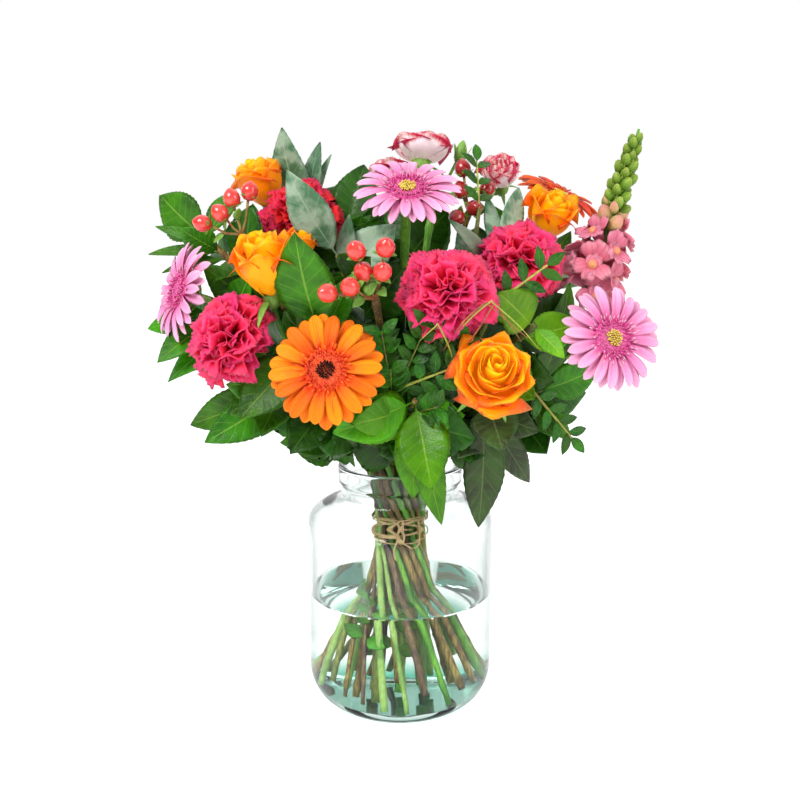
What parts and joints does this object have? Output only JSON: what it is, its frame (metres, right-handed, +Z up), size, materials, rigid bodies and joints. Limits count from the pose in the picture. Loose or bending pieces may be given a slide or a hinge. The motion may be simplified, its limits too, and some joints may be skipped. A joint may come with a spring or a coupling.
{
  "type": "cut flower bouquet in glass jar",
  "caption": "Mixed hand-tied bouquet of gerberas, roses, carnations and foliage standing in a wide-mouthed glass jar of water.",
  "frame": {"origin": "middle of the jar's underside", "axes": "+Z up, front of the bouquet towards -Y"},
  "size_m": [0.3727, 0.3206, 0.4635],
  "materials": {
    "glass": "clear with a faint teal tint, thick base",
    "water": "clear water",
    "twine": "rough matt",
    "green_stem": "satin",
    "leaf": "satin",
    "dark_leaf": "satin",
    "grey_leaf": "matt",
    "small_leaf": "satin",
    "orange_petal": "matt",
    "pink_petal": "matt",
    "rust_petal": "matt",
    "rose_petal": "satin",
    "carnation_petal": "matt",
    "spray_petal": "satin",
    "snapdragon_petal": "satin",
    "berry": "glossy"
  },
  "bodies": {
    "root": {"back_berry_sprig": "berry", "back_leaf_sprig": "leaf", "back_left_leaf_sprig": "leaf", "back_right_leaf_sprig": "leaf", "centre_berry_sprig": "berry", "centre_carnation": "carnation_petal", "centre_carnation_stem": "green_stem", "centre_pinnate_sprig": "small_leaf", "far_left_leaf_sprig": "leaf", "front_leaf_sprig": "leaf", "front_left_leaf_sprig": "leaf", "front_right_leaf_sprig": "dark_leaf", "front_rose": "rose_petal", "front_rose_stem": "green_stem", "glass_jar": "glass", "grey_leaf_sprig": "grey_leaf", "left_berry_sprig": "berry", "left_carnation": "carnation_petal", "left_carnation_stem": "green_stem", "left_leaf_sprig": "leaf", "left_pink_gerbera": "pink_petal", "left_pink_gerbera_stem": "green_stem", "left_rose": "rose_petal", "left_rose_stem": "green_stem", "left_spray_rose": "spray_petal", "low_left_leaf_sprig": "leaf", "low_right_leaf_sprig": "leaf", "low_right_pinnate_sprig": "small_leaf", "narrow_leaf_sprig": "grey_leaf", "orange_gerbera": "orange_petal", "orange_gerbera_stem": "green_stem", "right_carnation": "carnation_petal", "right_carnation_stem": "green_stem", "right_leaf_sprig": "leaf", "right_pink_gerbera": "pink_petal", "right_pink_gerbera_stem": "green_stem", "right_pinnate_sprig": "small_leaf", "right_rose": "rose_petal", "right_rose_stem": "green_stem", "right_spray_rose": "spray_petal", "rim_left_leaf_sprig": "dark_leaf", "rust_gerbera": "rust_petal", "rust_gerbera_stem": "green_stem", "small_rose": "rose_petal", "small_rose_stem": "green_stem", "snapdragon_flowers": "snapdragon_petal", "snapdragon_stem": "green_stem", "spray_rose_stem": "green_stem", "top_leaf_sprig": "leaf", "top_left_leaf_sprig": "grey_leaf", "top_pink_gerbera": "pink_petal", "top_pink_gerbera_stem": "green_stem", "top_pinnate_sprig": "small_leaf", "top_spray_rose": "spray_petal", "twine_tie": "twine", "upper_carnation": "carnation_petal", "upper_carnation_stem": "green_stem", "upper_rose": "rose_petal", "upper_rose_stem": "green_stem", "water": "water"}
  },
  "joints": []
}
